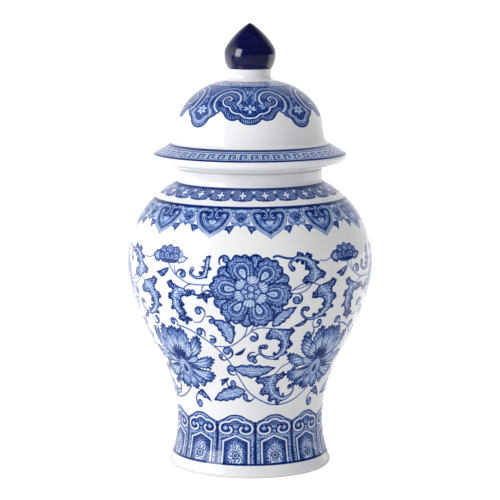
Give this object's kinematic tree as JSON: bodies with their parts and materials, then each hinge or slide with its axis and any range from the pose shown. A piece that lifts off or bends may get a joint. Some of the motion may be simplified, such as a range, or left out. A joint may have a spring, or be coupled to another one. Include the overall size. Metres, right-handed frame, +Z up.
{
  "type": "ginger jar",
  "caption": "Lidded porcelain baluster jar with a domed, wide-flanged lid, a pointed bud finial and an all-over blue underglaze print.",
  "frame": {"origin": "centre of the foot ring's resting circle, on the jar's axis", "axes": "+Z up along the jar's axis; the print's large front flower faces -Y"},
  "size_m": [0.1972, 0.1972, 0.355],
  "materials": {
    "printed_porcelain": "clear gloss glaze over cobalt print",
    "plain_porcelain": "unglazed biscuit",
    "cobalt_glaze": "gloss"
  },
  "bodies": {
    "jar": {"jar_body": "printed_porcelain"},
    "lid": {"lid_shell": "printed_porcelain", "lid_locating_ring": "plain_porcelain", "finial_bud": "cobalt_glaze"}
  },
  "joints": [
    {"name": "lid_lift", "type": "slide", "parent": "jar", "child": "lid", "axis": [0, 0, 1], "range_m": [0, 0.12]}
  ]
}
